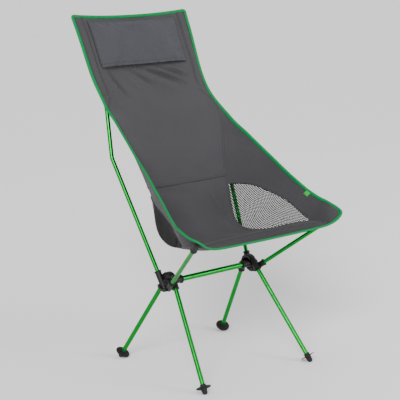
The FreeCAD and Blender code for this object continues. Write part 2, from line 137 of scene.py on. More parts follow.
EDGES, SEAMS, MIDDLES = (in_frame([station[k] for station in STATIONS]) for k in range(3))
DOWN = (lengths(EDGES) + lengths(SEAMS) + lengths(MIDDLES)) / 3
BOTTOM = DOWN[-1]
edge_at, seam_at, middle_at = (spline(DOWN, line) for line in (EDGES, SEAMS, MIDDLES))
MESH_SPAN = slice(MESH_START, MESH_END + 1)
REACHES = np.array([station[3] for station in STATIONS])[MESH_SPAN, None]
mesh_top_at = spline(DOWN[MESH_SPAN], SEAMS[MESH_SPAN] + (EDGES[MESH_SPAN] - SEAMS[MESH_SPAN]) * REACHES)


def centre(down, share):
    """Points of the centre panel: share runs from -1 at the left seam to 1 at the right one."""
    side, middle = seam_at(down), middle_at(down)
    lift = np.abs(share)[..., None] ** SAG_POWER
    points = middle + (side - middle) * lift
    points[..., 0] = side[..., 0] * share
    return points


def grid_of(surface, downs, shares):
    down, share = np.meshgrid(downs, shares, indexing="ij")
    return surface(down, share)


def normals(grid):
    """The unit normal at each point of a grid, on the side that a sitter touches."""
    return unit(np.cross(np.gradient(grid, axis=0), np.gradient(grid, axis=1)))


def toward(a, b, distance):
    """Points that lie distance from a on the way to b."""
    return a + unit(b - a) * np.asarray(distance)[..., None]


def lines_between(a, b, shares):
    """A grid from line a to line b."""
    shares = np.asarray(shares)[None, :, None]
    return a[:, None] * (1 - shares) + b[:, None] * shares


def smooth(value, low, high):
    t = np.clip((value - low) / (high - low), 0, 1)
    return t * t * (3 - 2 * t)


def lengths_across(grid):
    """How far along its row each point of a grid lies."""
    steps = np.linalg.norm(np.diff(grid, axis=1), axis=2)
    return np.concatenate([np.zeros((len(grid), 1)), np.cumsum(steps, axis=1)], axis=1)


def cut_of(grid):
    """How far across and down the flat cloth each point of a grid lies, in metres."""
    across = lengths_across(grid)
    down = np.linalg.norm(np.diff(grid, axis=0), axis=2).mean(axis=1)
    down = np.concatenate([[0], np.cumsum(down)])
    middle = grid.shape[1] // 2
    return across - across[:, middle:middle + 1], np.repeat(down[:, None], grid.shape[1], axis=1)


def folds(across, down, creases):
    """The height of a set of soft creases, each (across, down) to (across, down), its width and height."""
    height = np.zeros_like(across)
    for start, end, width, tall in creases:
        start, end = np.array(start), np.array(end)
        run = end - start
        long = run @ run
        t = ((across - start[0]) * run[0] + (down - start[1]) * run[1]) / long
        off_x = across - start[0] - run[0] * np.clip(t, 0, 1)
        off_y = down - start[1] - run[1] * np.clip(t, 0, 1)
        fade = np.sin(np.pi * np.clip(t, 0.02, 0.98)) ** 0.6
        height += tall * fade * np.exp(-(off_x ** 2 + off_y ** 2) / width ** 2)
    return height


def ripple(across, down, seed, size, count=7):
    """A soft unevenness: a few plane waves in directions and phases drawn from the seed."""
    draw = np.random.default_rng(seed)
    height = np.zeros_like(across)
    for _ in range(count):
        turn, phase = draw.uniform(0, 2 * math.pi, 2)
        wave = draw.uniform(0.6, 1.6) * 2 * math.pi / size
        height += np.sin((across * math.cos(turn) + down * math.sin(turn)) * wave + phase)
    return height / count


# ---- meshes ----------------------------------------------------------------------------------------------

def piece(name, vertices, faces, look, cut=None):
    """A mesh object, smooth shaded, with its flat cut as the UV map where it has one."""
    mesh = bpy.data.meshes.new(name)
    mesh.from_pydata(np.asarray(vertices).reshape(-1, 3).tolist(), [], faces)
    mesh.polygons.foreach_set("use_smooth", [True] * len(mesh.polygons))
    if cut is not None:
        loops = np.zeros(len(mesh.loops), int)
        mesh.loops.foreach_get("vertex_index", loops)
        layer = mesh.uv_layers.new(name="cut")
        layer.data.foreach_set("uv", np.asarray(cut).reshape(-1, 2)[loops].ravel())
    mesh.materials.append(look)
    made = bpy.data.objects.new(name, mesh)
    bpy.context.scene.collection.objects.link(made)
    return made


def quads(rows, columns, wrap=False):
    """The faces of a grid; wrap also joins its last column to its first."""
    found = []
    for i in range(rows - 1):
        for j in range(columns if wrap else columns - 1):
            right = (j + 1) % columns
            corners = ((i, j), (i + 1, j), (i + 1, right), (i, right))
            found.append(tuple(row * columns + column for row, column in corners))
    return found


def thicken(made, thickness, offset=0.0):
    solid = made.modifiers.new("thickness", "SOLIDIFY")
    solid.thickness = thickness
    solid.offset = offset


def cloth(name, grid, look, stands_for=(), thickness=CLOTH_T, taut=None):
    """One panel of cloth from a grid of points: a sheet that rides on the sling. Its flat cut is measured on the
    grid itself; taut, the smooth surface that it was before creases or a simulation moved it, is not used."""
    across, down = cut_of(grid)
    made = piece(name, grid, quads(*grid.shape[:2]), look, np.stack([across, down], axis=-1))
    thicken(made, thickness)
    taut = grid if taut is None else taut
    return on_sling(made, stands_for)


def on_sling(made, stands_for=()):
    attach(made, "sling")
    if stands_for:
        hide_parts(*stands_for)
    return made


def other_side(grid):
    """The mirror image of a grid, still wound so that its normals face the sitter."""
    return grid[:, ::-1] * (-1, 1, 1)


def folded_strip(name, path, way, section, look):
    """An open section swept round a closed path; its points are (in along way, along the normal)."""
    along = unit(np.roll(path, -1, axis=0) - np.roll(path, 1, axis=0))
    way = unit(way - along * (way * along).sum(axis=1, keepdims=True))
    out = np.cross(along, way)
    section = np.asarray(section)
    points = path[:, None] + way[:, None] * section[None, :, :1] + out[:, None] * section[None, :, 1:]
    count, last = len(section), len(path) - 1
    faces = quads(len(path), count)
    faces += [(last * count + j, j, j + 1, last * count + j + 1) for j in range(count - 1)]
    cut = np.stack(np.broadcast_arrays(lengths(section)[None, :], lengths(path)[:, None]), axis=-1)
    return piece(name, points, faces, look, cut)


STITCH_SHAPE = np.array([(0, -.5, 0), (0, .5, 0), (.18, -.5, .55), (.18, .5, .55), (.5, -.55, .8),
                         (.5, .55, .8), (.82, -.5, .55), (.82, .5, .55), (1, -.5, 0), (1, .5, 0)])


def stitches(name, rows, look, width=.0007):
    """Rows of stitches: each row is (points, normals), and a stitch is a small raised loop of thread."""
    points, faces = [], []
    for line, out in rows:
        at = lengths(line)
        starts = np.arange(0, at[-1] - STITCH_L, STITCH_L + STITCH_GAP)
        ends = starts + STITCH_L
        first = np.stack([np.interp(starts, at, line[:, k]) for k in range(3)], axis=1)
        last = np.stack([np.interp(ends, at, line[:, k]) for k in range(3)], axis=1)
        up = unit(np.stack([np.interp(starts, at, out[:, k]) for k in range(3)], axis=1))
        along = last - first
        side = unit(np.cross(along, up)) * width
        shape = STITCH_SHAPE[None]
        made = first[:, None] + along[:, None] * shape[..., :1] + side[:, None] * shape[..., 1:2] \
            + up[:, None] * shape[..., 2:] * width
        for k in range(len(made)):
            base = len(points) * len(STITCH_SHAPE)
            points.append(made[k])
            faces += [tuple(base + c for c in (a, a + 1, a + 3, a + 2)) for a in (0, 2, 4, 6)]
    return on_sling(piece(name, np.array(points), faces, look))


# ---- materials -------------------------------------------------------------------------------------------

class Look:
    """A material's node tree, written as nested calls."""

    def __init__(self, name, **surface):
        self.material = bpy.data.materials.new(name)
        self.material.use_nodes = True
        self.tree = self.material.node_tree
        self.shader = self.tree.nodes["Principled BSDF"]
        for socket, value in surface.items():
            self.set(socket.replace("_", " "), value)
        place = self.node("ShaderNodeTexCoord")
        self.place = place.outputs["Object"]
        flat = self.node("ShaderNodeUVMap", uv_map="cut")
        cut = self.node("ShaderNodeSeparateXYZ", {"Vector": flat.outputs["UV"]})
        self.across, self.down = cut.outputs["X"], cut.outputs["Y"]

    def set(self, socket, value):
        if isinstance(value, bpy.types.NodeSocket):
            self.tree.links.new(value, self.shader.inputs[socket])
        else:
            self.shader.inputs[socket].default_value = value

    def node(self, kind, inputs=None, **settings):
        made = self.tree.nodes.new(kind)
        for key, value in settings.items():
            setattr(made, key, value)
        for key, value in (inputs or {}).items():
            if isinstance(value, bpy.types.NodeSocket):
                self.tree.links.new(value, made.inputs[key])
            else:
                made.inputs[key].default_value = value
        return made

    def math(self, operation, a, b=0.0):
        return self.node("ShaderNodeMath", {0: a, 1: b}, operation=operation).outputs[0]

    def noise(self, scale, detail=3.0, stretch=None):
        vector = self.place
        if stretch:
            vector = self.node("ShaderNodeMapping", {"Vector": vector, "Scale": stretch}).outputs[0]
        made = self.node("ShaderNodeTexNoise", {"Vector": vector, "Scale": scale, "Detail": detail})
        return made.outputs["Fac"]

    def remap(self, value, low, high, to_low, to_high):
        return self.node("ShaderNodeMapRange", {0: value, 1: low, 2: high, 3: to_low, 4: to_high}).outputs[0]

    def mix(self, share, a, b):
        return self.node("ShaderNodeMix", {0: share, 6: a, 7: b}, data_type="RGBA").outputs[2]

    def bump(self, height, distance, strength=1.0):
        made = self.node("ShaderNodeBump", {"Height": height, "Distance": distance, "Strength": strength})
        self.set("Normal", made.outputs[0])

    def weave(self, pitch):
        """The height of a plain weave of threads pitch apart, from 0 to 1."""
        u, v = self.math("DIVIDE", self.across, pitch), self.math("DIVIDE", self.down, pitch)
        cells = self.math("ADD", self.math("FLOOR", u), self.math("FLOOR", v))
        over = self.math("MULTIPLY", self.math("FRACT", self.math("MULTIPLY", cells, 0.5)), 2.0)
        under = self.math("SUBTRACT", 1.0, over)
        warp = self.math("ABSOLUTE", self.math("SINE", self.math("MULTIPLY", u, math.pi)))
        weft = self.math("ABSOLUTE", self.math("SINE", self.math("MULTIPLY", v, math.pi)))
        return self.math("ADD", self.math("MULTIPLY", warp, over), self.math("MULTIPLY", weft, under))


def shade(color, share):
    return tuple(min(1.0, c * share) for c in color[:3]) + (1.0,)


def woven(name, color, pitch=.0007, sheen=.06):
    """Plain-weave cloth: threads, a slightly cloudy dye and a soft sheen."""
    look = Look(name, Roughness=.82, Sheen_Weight=sheen, Sheen_Roughness=.5)
    look.shader.inputs["Specular IOR Level"].default_value = .25
    threads = look.weave(pitch)
    cloudy = look.remap(look.noise(9.0), .3, .7, .0, 1.0)
    slub = look.remap(look.noise(260.0, stretch=(1.0, 1.0, .12)), .3, .7, .0, 1.0)
    dye = look.mix(cloudy, shade(color, .94), shade(color, 1.06))
    dye = look.mix(look.math("MULTIPLY", slub, .25), dye, shade(color, 1.25))
    look.set("Base Color", look.mix(look.remap(threads, 0.0, .6, .45, 1.0), shade(color, .55), dye))
    look.bump(threads, .00012)
    return look.material


def ribbed(name, color, pitch=.0011):
    """Grosgrain tape: cross ribs, with lighter rib tops and slightly worn edges."""
    look = Look(name, Roughness=.75)
    look.shader.inputs["Specular IOR Level"].default_value = .12
    ribs = look.math("ABSOLUTE", look.math("SINE", look.math("DIVIDE", look.down, pitch / math.pi)))
    tops = look.mix(look.remap(ribs, .1, .9, 0.0, 1.0), shade(color, .7), shade(color, 1.06))
    worn = look.remap(look.noise(60.0), .62, .8, 0.0, .35)
    look.set("Base Color", look.mix(worn, tops, shade(color, 1.35)))
    look.bump(ribs, .00015)
    return look.material


def netting(name, color):
    """The knitted yarn of the mesh windows."""
    look = Look(name, Roughness=.85)
    look.shader.inputs["Specular IOR Level"].default_value = .15
    fibres = look.noise(1500.0, 2.0)
    look.set("Base Color", look.mix(fibres, shade(color, .7), shade(color, 1.5)))
    look.bump(fibres, .00008)
    return look.material


def anodised(name, color):
    """Bright dyed aluminium: drawn lines along the tube, faint handling marks and darker scuffs."""
    look = Look(name, Metallic=1.0)
    drawn = look.noise(900.0, 2.0, stretch=(1.0, 1.0, .03))
    marks = look.remap(look.noise(45.0, 6.0), .55, .75, 0.0, 1.0)
    look.set("Base Color", look.mix(marks, shade(color, 1.0), shade(color, .82)))
    look.set("Roughness", look.remap(look.math("ADD", drawn, marks), .3, 1.6, .30, .46))
    look.bump(drawn, .00002, .5)
    return look.material


def moulded(name, color, roughness, grain_size=1400.0, relief=.00004):
    """Black plastic or rubber: spark-eroded grain, paler where it is rubbed."""
    look = Look(name)
    look.shader.inputs["Specular IOR Level"].default_value = .32
    grain = look.noise(grain_size, 2.0)
    rubbed = look.remap(look.noise(70.0, 5.0), .5, .75, 0.0, 1.0)
    edge = look.node("ShaderNodeNewGeometry").outputs["Pointiness"]
    edge = look.remap(edge, .52, .60, 0.0, .8)
    tint = look.mix(look.math("MULTIPLY", rubbed, .5), shade(color, 1.0), shade(color, 1.7))
    look.set("Base Color", look.mix(edge, tint, shade(color, 2.6)))
    look.set("Roughness", look.remap(rubbed, 0.0, 1.0, roughness, roughness - .12))
    look.bump(grain, relief)
    return look.material


def brushed(name, color, roughness):
    look = Look(name, Metallic=1.0)
    lines = look.noise(700.0, 3.0, stretch=(.05, 1.0, 1.0))
    look.set("Base Color", look.mix(lines, shade(color, .8), shade(color, 1.1)))
    look.set("Roughness", look.remap(lines, .3, .7, roughness, roughness + .15))
    look.bump(lines, .00002)
    return look.material


def braided(name, color):
    """Elastic cord with a braided sheath."""
    look = Look(name, Roughness=.8)
    strands = look.node("ShaderNodeTexVoronoi", {"Vector": look.place, "Scale": 1100.0}).outputs["Distance"]
    look.set("Base Color", look.mix(strands, shade(color, 1.6), shade(color, .6)))
    look.bump(strands, .0001)
    return look.material


def fleece(name, color):
    look = Look(name, Roughness=.95, Sheen_Weight=.5)
    fluff = look.noise(500.0, 5.0)
    look.set("Base Color", look.mix(fluff, shade(color, .8), shade(color, 1.1)))
    look.bump(fluff, .0004)
    return look.material


CLOTH = woven("grey_cloth", (.046, .0450, .050))
PILLOW_CLOTH = woven("pillow_cloth", (.048, .049, .057), pitch=.0006)
# The front hem band's cloth is the seat's grey at about half its brightness: painted shade that darkens the band
# below the ridge.
HEM_PAINTED_SHADE_CLOTH = woven("hem_cloth_painted_shade", (.025, .0243, .027))
DARK_CLOTH = woven("black_webbing", (.010, .010, .011), pitch=.0010)
NET = netting("black_net", (.006, .0055, .005))
TAPE = ribbed("green_tape", (0, .205, .053))
LABEL = woven("label_cloth", (.035, .40, .055), pitch=.0004, sheen=.05)
# The seam thread is several times darker than the cloth: partly the thread's own colour, partly painted shadow
# along the seams.
THREAD = netting("dark_thread_painted_seam_shadow", (.013, .013, .014))
GREEN_THREAD = netting("green_thread", (0, .110, .020))
TUBE = anodised("green_tube", (.002, .255, .026))
PLASTIC = moulded("black_plastic", (.0042, .0040, .0038), .50)
RUBBER = moulded("black_rubber", (.008, .0075, .0075), .72, grain_size=700.0, relief=.00008)
SLOT_LOOKS = {"tube": TUBE, "plastic": PLASTIC, "rubber": RUBBER,
              "ferrule": brushed("bare_aluminium", (.72, .73, .75), .25),
              "screw": brushed("blackened_steel", (.030, .030, .031), .5),
              "cord": braided("black_cord", (.03, .03, .03)),
              "cloth": CLOTH, "mesh": NET, "tape": TAPE, "label": LABEL,
              "padding": fleece("pillow_padding", (.55, .55, .55))}


def dress_the_frame():
    """Every CAD node gets the look of its material slot."""
    slots = {row["node"]: row["material_slot"] for row in frame["record"]["subparts"]}
    for name, node in frame["nodes"].items():
        node.data.materials.clear()
        node.data.materials.append(SLOT_LOOKS[slots[name]])


# ---- sling -----------------------------------------------------------------------------------------------

def fell_band(distance):
    """The raised step of a felled seam, from the distance to the seam line."""
    return .0009 * (1 - smooth(distance, FELL_W - .0012, FELL_W)) * smooth(distance, 0, .0008)


BACK_FOLDS = [((-.140, .167), (-.080, .270), .007, -.0125), ((-.150, .180), (-.150, .300), .012, .0069),
              ((-.060, .168), (.030, .240), .007, -.0080), ((-.090, .170), (-.030, .250), .009, .0069),
              ((-.020, .166), (.155, .245), .007, -.0103), ((.010, .166), (.168, .228), .006, .0080),
              ((.050, .167), (.176, .232), .007, -.0092), ((.085, .166), (.178, .214), .006, .0069),
              ((-.030, .176), (.130, .270), .012, .0069), ((-.100, .300), (-.030, .420), .030, .0069),
              ((.060, .520), (.140, .440), .030, .0057)]


def line_at(points, places):
    """The points of a line of the right half, or of its mirror image, at an array of places in x."""
    points = in_frame(sorted(points))
    line = [np.interp(np.abs(places), points[:, 0], points[:, k]) for k in (1, 2)]
    return np.stack([places] + line, axis=-1)


def under_top_binding(row):
    """The row of points above a panel's first row that is sewn into the top binding."""
    return line_at(TOP_EDGE + TOP_CORNER, row[:, 0]) + DOWN_THE_BACK * .0028


def back_panel():
    downs = np.linspace(.001, DOWN[SEAT_SEAM], 150)
    grid = grid_of(centre, downs, np.linspace(-1, 1, 91))
    in_sleeve = 1 - smooth(downs, DOWN[SLEEVE_FOOT] - .002, DOWN[SLEEVE_FOOT] + .008)
    lap = toward(seam_at(downs), edge_at(downs), .0003 + .0045 * in_sleeve)[:, None]
    grid = np.concatenate([lap * (-1, 1, 1), grid, lap], axis=1)
    grid = np.concatenate([under_top_binding(grid[0])[None], grid])
    across, down = cut_of(grid)
    inside = np.minimum(across - across[:, :1], across[:, -1:] - across)
    calm = smooth(inside, 0, .05)
    height = folds(across, down, BACK_FOLDS) * calm + .0010 * ripple(across, down, 4, .16) * calm
    sewn = smooth(down, DOWN[SLEEVE_FOOT], DOWN[SLEEVE_FOOT] + .02)
    height += fell_band(inside) * sewn
    height += .6 * fell_band(DOWN[SEAT_SEAM] - down)
    out = normals(grid)
    shaped = grid + out * height[..., None]
    cloth("back_cloth", shaped, CLOTH, ("back_panel",), taut=grid)
    rows = []
    for place in (.0022, FELL_W - .0018):
        for hand in (-1, 1):
            rows.append(row_beside(shaped, out, hand, place, DOWN[SLEEVE_FOOT] + .01, DOWN[SEAT_SEAM]))
        rows.append(row_across(shaped, out, place))
    return rows


def row_beside(grid, out, hand, place, first, last):
    """A line of stitches down a grid, place metres from its left (-1) or right (1) edge."""
    if hand > 0:
        grid, out = grid[:, ::-1], out[:, ::-1]
    down = cut_of(grid)[1][:, 0]
    keep = (down >= first) & (down <= last)
    line, side = [], []
    for row, normal in zip(grid[keep], out[keep]):
        at = lengths(row)
        line.append([np.interp(place, at, row[:, k]) for k in range(3)])
        side.append([np.interp(place, at, normal[:, k]) for k in range(3)])
    line, side = np.array(line), np.array(side)
    return line + side * (CLOTH_T / 2 - .0001), side


def row_across(grid, out, place, from_top=False):
    """A line of stitches across a grid, place metres from its bottom edge or its top one."""
    if not from_top:
        grid, out = grid[::-1], out[::-1]
    line, side = [], []
    for j in range(grid.shape[1]):
        at = lengths(grid[:, j])
        line.append([np.interp(place, at, grid[:, j, k]) for k in range(3)])
        side.append([np.interp(place, at, out[:, j, k]) for k in range(3)])
    line, side = np.array(line), np.array(side)
    return line + side * (CLOTH_T / 2 - .0001), side


SEAT_FOLDS = [((.085, .030), (.140, .190), .010, .0067), ((.110, .060), (.150, .230), .008, -.0067),
              ((.060, .200), (.170, .270), .012, .0067), ((-.150, .040), (-.090, .180), .016, .0060),
              ((-.050, .240), (.110, .300), .016, -.0060), ((.130, .235), (.200, .300), .008, .0060),
              ((-.120, .015), (.050, .045), .016, -.0045), ((.020, .255), (.165, .290), .007, .0060),
              ((-.160, .230), (-.060, .300), .010, .0060), ((-.030, .060), (.060, .200), .018, .0045)]


def seat_panel():
    downs = np.linspace(DOWN[SEAT_SEAM] - FELL_W, BOTTOM, 160)
    grid = grid_of(centre, downs, np.linspace(-1, 1, 91))
    front = line_at(FRONT_EDGE, grid[-1, :, 0]) + (0, .003, 0)
    grid = np.concatenate([grid, front[None]])
    downs = np.append(downs, BOTTOM + .006)
    across, down = cut_of(grid)
    inside = np.minimum(across - across[:, :1], across[:, -1:] - across)
    to_front = BOTTOM - downs[:, None]
    calm = smooth(inside, 0, .02) * smooth(to_front, .03, .07)
    height = folds(across, down, SEAT_FOLDS) * calm + .0010 * ripple(across, down, 11, .13) * calm
    height += fell_band(inside) * smooth(to_front, .06, .09)
    hem = BOTTOM - DOWN[RIDGE]
    height += .0010 * (1 - smooth(to_front, hem - .001, hem + .001))
    height -= .0022 * np.exp(-((to_front - hem - .0035) / .003) ** 2)
    height -= .0011 * (1 - smooth(down, FELL_W, FELL_W + .002))
    out = normals(grid)
    shaped = grid + out * height[..., None]
    made = cloth("seat_cloth", shaped, CLOTH, ("seat_panel",), taut=grid)
    # The faces of the hem band, from the ridge to the front edge, take the darker cloth: painted shade.
    made.data.materials.append(HEM_PAINTED_SHADE_CLOTH)
    first = int(np.flatnonzero(to_front[:, 0] < hem)[0]) * (grid.shape[1] - 1)
    for face in made.data.polygons[first:]:
        face.material_index = 1
    rows = [row_across(shaped, out, place + .006) for place in (hem - .0025, hem - .0090)]
    rows += [row_beside(shaped, out, hand, place, 0, DOWN[MESH_END] - DOWN[SEAT_SEAM])
             for hand in (-1, 1) for place in (.0022, FELL_W - .0018)]
    return rows


def both(name, grid, look, node, thickness=CLOTH_T, taut=None):
    """A panel of the right half and its mirror image."""
    cloth(f"{name}_right", grid, look, (f"{node}_right",), thickness, taut)
    cloth(f"{name}_left", other_side(grid), look, (f"{node}_left",), thickness, other_side(taut))


def mirrored_rows(rows):
    return rows + [(line * (-1, 1, 1), out * (-1, 1, 1)) for line, out in rows]


def side_panels():
    downs = np.linspace(DOWN[SLEEVE_FOOT] - .006, BOTTOM, 190)
    seam, edge = seam_at(downs), edge_at(downs)
    in_window = (downs > DOWN[MESH_START]) & (downs < DOWN[MESH_END])
    start = seam.copy()
    start[in_window] = mesh_top_at(downs[in_window])
    panel = lines_between(start, toward(edge, seam, np.full(len(downs), .004)), np.linspace(0, 1, 36))
    out = normals(panel)
    # The part that is sewn in behind: under the centre panel, or folded back over the edge of the mesh
    lap = centre(downs, 1 - .0075 / np.abs(seam[:, 0]))
    lap[in_window] = toward(start, edge, np.full(len(downs), .008))[in_window]
    from_start = lengths_across(panel)
    down = np.repeat(downs[:, None], panel.shape[1], axis=1)
    to_edge = from_start[:, -1:] - from_start
    calm = smooth(from_start, 0, .03) * smooth(to_edge, 0, .03)
    window = smooth(downs, DOWN[MESH_START], DOWN[MESH_START] + .02)
    window *= 1 - smooth(downs, DOWN[MESH_END] - .03, DOWN[MESH_END])
    puckers = np.sin(down * 2 * math.pi / .021 + from_start * 25) * np.exp(-from_start / .022)
    puckers *= smooth(down, DOWN[MESH_START] + .05, DOWN[MESH_START] + .12)
    height = .0011 * puckers * window[:, None] * smooth(from_start, .004, .012)
    height += .0012 * ripple(from_start, down, 21, .12) * calm
    height += .0009 * (1 - smooth(from_start, .0085, .0095)) * window[:, None]
    shaped = panel + out * height[..., None]
    behind = lap - out[:, 0] * np.where(in_window, .0026, .0012)[:, None]
    shaped_all, taut = (np.concatenate([first[:, None], rest], axis=1)
                        for first, rest in ((behind, shaped), (lap, panel)))
    both("side_cloth", shaped_all, CLOTH, "side_panel", taut=taut)
    shaped, out = shaped[in_window], out[in_window]
    return mirrored_rows([row_beside(shaped, out, -1, place, 0, 1) for place in (.0020, .0070)])


def mesh_windows():
    """Knitted net with real holes: hexagonal cells laid out flat, then carried onto the window's surface."""
    first, last = DOWN[MESH_START] - .001, DOWN[MESH_END] - .001
    row_step, cell_r = MESH_PITCH * math.sqrt(3) / 2, MESH_PITCH / math.sqrt(3)
    sixths = np.arange(6) * math.pi / 3
    points, faces, known = [], [], {}

    def corner(x, y):
        key = (round(x / MESH_PITCH * 60), round(y / MESH_PITCH * 60))
        if key not in known:
            known[key] = len(points)
            points.append((x, y))
        return known[key]

    for row in range(int((last - first) / row_step)):
        down = first + row * row_step
        reach = float(np.linalg.norm(mesh_top_at(down) - seam_at(down))) + .003
        for column in range(-1, int(reach / MESH_PITCH) + 2):
            x, y = (column + .5 * (row % 2)) * MESH_PITCH, down
            outer = [(x + cell_r * math.sin(turn), y + cell_r * math.cos(turn)) for turn in sixths]
            rim = [corner(*p) for p in outer]
            hole = len(points)
            points.extend((x + (px - x) * MESH_HOLE, y + (py - y) * MESH_HOLE) for px, py in outer)
            faces += [(rim[k], rim[(k + 1) % 6], hole + (k + 1) % 6, hole + k) for k in range(6)]
    flat = np.array(points)
    down = np.clip(flat[:, 1], first, last)
    seam, top = seam_at(down), mesh_top_at(down)
    along = unit(top - seam)
    out = unit(np.cross(np.gradient(seam_at(np.stack([down - .004, down + .004])), axis=0)[0], along))
    reach = np.linalg.norm(top - seam, axis=1)
    flat[:, 0] = np.clip(flat[:, 0], -.002, reach + .003)
    slack = .0010 * ripple(flat[:, 0], flat[:, 1], 33, .05)
    low, lower = DOWN[LABEL_STATION], DOWN[LABEL_STATION + 1]
    slack += folds(flat[:, 0], flat[:, 1], [((0, low - .015), (.055, lower), .0040, .0040),
                                            ((0, low + .005), (.045, lower + .012), .0035, -.0035)])
    slack *= smooth(flat[:, 0], 0, .012) * smooth(reach - flat[:, 0], 0, .012)
    placed = seam + along * flat[:, :1] + out * (slack - .0010)[:, None]
    downs = np.linspace(first, last, 200)
    window = lines_between(seam_at(downs), mesh_top_at(downs), np.linspace(0, 1, 12))
    for hand, name in ((1, "right"), (-1, "left")):
        made = piece(f"mesh_net_{name}", placed * (hand, 1, 1), faces, NET)
        on_sling(made, (f"mesh_window_{name}",))


def corner_tongues():
    hinge, rim = (in_frame([pair[k] for pair in TONGUE]) for k in range(2))
    at = lengths((hinge + rim) / 2)
    finer = np.linspace(0, at[-1], 36)
    hinge, rim = spline(at, hinge)(finer), spline(at, rim)(finer)
    edge, seam = edge_at([BOTTOM]), seam_at([BOTTOM])
    last_row = lines_between(toward(edge, seam, [.006]), seam, np.linspace(0, .97, 36))[0]
    inner = toward(last_row, last_row * 2 - hinge, np.full(36, .002))
    grid = lines_between(inner, toward(rim, hinge, np.full(len(rim), .003)), np.linspace(0, 1, 14))
    bulge = np.sin(np.pi * np.linspace(0, 1, 14))[None, :] * np.sin(np.pi * np.linspace(0, 1, 36))[:, None]
    shaped = grid + normals(grid) * (.0016 * bulge)[..., None]
    both("tongue_cloth", shaped, CLOTH, "corner_tongue", thickness=.0016, taut=grid)


def pole_end(name, way):
    """The end of a straight pole's axis, and the pole's direction, from its box and the way it points."""
    low, high = (np.array(corner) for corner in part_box(name))
    along = unit(high - low)
    # A box is wider than the axis by the tube's own width, so the direction takes a few closer guesses
    for _ in range(6):
        along = unit(high - low - 2 * POLE_R * np.sqrt(1 - along ** 2))
    return (low + high) / 2 + way * ((high - low) / 2 - POLE_R * np.sqrt(1 - along ** 2)), way * along


def corner_pockets():
    """The black tunnel under each tongue that takes the front pole's tip, with a bound mouth."""
    for hand, name in ((1, "right"), (-1, "left")):
        end, along = pole_end(f"front_pole_tube_{name}", np.array((hand, -1, 1)))
        side = unit(np.cross(along, (0, 0, 1)))
        over = np.cross(side, along)
        turns = np.linspace(0, 2 * math.pi, 33)[:-1]
        # How far past the pole's end each ring lies, and its radius in pole radii
        profile = [(-.036, 1.40), (-.0355, 1.66), (-.032, 1.70), (-.0285, 1.46), (-.023, 1.36),
                   (-.015, 1.28), (-.006, 1.24), (.002, 1.18), (.0066, .95), (.0092, .5), (.0096, .05)]
        rows = []
        for step, wide in profile:
            flatten = 1 + .10 * smooth(step, -.03, -.01)
            ring = end + along * step + POLE_R * wide * (
                side * np.cos(turns)[:, None] * flatten + over * np.sin(turns)[:, None] / flatten)
            rows.append(ring)
        grid = np.array(rows)
        around = np.linspace(0, 2 * math.pi * POLE_R * 1.3, 32)
        cut = np.stack(np.meshgrid(around, [row[0] for row in profile]), axis=-1)
        made = piece(f"pocket_cloth_{name}", grid, quads(len(grid), 32, wrap=True), DARK_CLOTH, cut)
        finer = made.modifiers.new("finer", "SUBSURF")
        finer.levels = finer.render_levels = 1
        thicken(made, .0006)
        on_sling(made, (f"corner_pocket_{name}",))


def pole_in(strip, out):
    """Where the rear pole runs in the right sleeve: how far each point of the strip lies to its side, and
    how much room it needs before and behind the strip."""
    node = frame["nodes"]["rear_pole_upper_tube_right"]
    corners = np.array([node.matrix_world @ vertex.co for vertex in node.data.vertices])
    ends = corners[np.array([edge.vertices[:] for edge in node.data.edges])]
    shares = np.linspace(0, 1, 60)[:, None, None]
    skin = (ends[:, 0] * (1 - shares) + ends[:, 1] * shares).reshape(-1, 3)
    middle = strip.shape[1] // 2
    off, before, behind = (np.zeros(strip.shape[:2]) for _ in range(3))
    for k, row in enumerate(strip):
        across = unit(row[-1] - row[0])
        up = out[k, middle]
        apart = skin - row[middle]
        near = np.abs(apart @ np.cross(across, up)) < .005
        if near.any():
            place, height = apart[near] @ across, apart[near] @ up
            off[k] = (row - row[middle]) @ across - (place.min() + place.max()) / 2
            before[k], behind[k] = max(height.max() + .0006, 0), max(.0006 - height.min(), 0)
    first = int(np.flatnonzero(behind[:, 0])[0])
    off[:first], before[:first], behind[:first] = off[first], before[first], behind[first]
    return off, before, behind


def pole_sleeves():
    """The doubled strip beside the upper back: its front and back skins part round the rear pole."""
    downs = np.linspace(.005, DOWN[SLEEVE_FOOT], 70)
    seam, edge = seam_at(downs), edge_at(downs)
    inner, outer = toward(seam, edge, np.full(70, .0008)), toward(edge, seam, np.full(70, .004))
    strip = lines_between(inner, outer, np.linspace(0, 1, 40))
    strip = np.concatenate([under_top_binding(strip[0])[None], strip])
    out = normals(strip)
    down = np.repeat(np.append(0, downs)[:, None], 40, axis=1)
    slack = .0004 * ripple(strip[..., 0], down, 8, .05)
    off, before, behind = pole_in(strip, out)
    taper = smooth(down, 0, .004)
    front = strip + out * (.0006 + taper * before * np.exp(-(off / .0105) ** 4) + slack)[..., None]
    back = strip - out * (.0008 + taper * behind * np.exp(-(off / .0110) ** 4) + slack)[..., None]
    skin = np.concatenate([front, back[:, ::-1]], axis=1)
    round_it = lengths_across(skin)
    cut = np.stack([round_it, down[:, :1] + np.zeros_like(round_it)], axis=-1)
    for hand, name in ((1, "right"), (-1, "left")):
        faces = quads(*skin.shape[:2], wrap=True)
        if hand < 0:
            faces = [face[::-1] for face in faces]
        made = piece(f"sleeve_cloth_{name}", skin * (hand, 1, 1), faces, CLOTH, cut)
        thicken(made, .0004, -1)
        on_sling(made, (f"pole_sleeve_{name}",))
    places = ((-1, .0022), (-1, .0062), (1, .0080))
    return mirrored_rows([row_beside(front, out, hand, place, 0, 1) for hand, place in places])


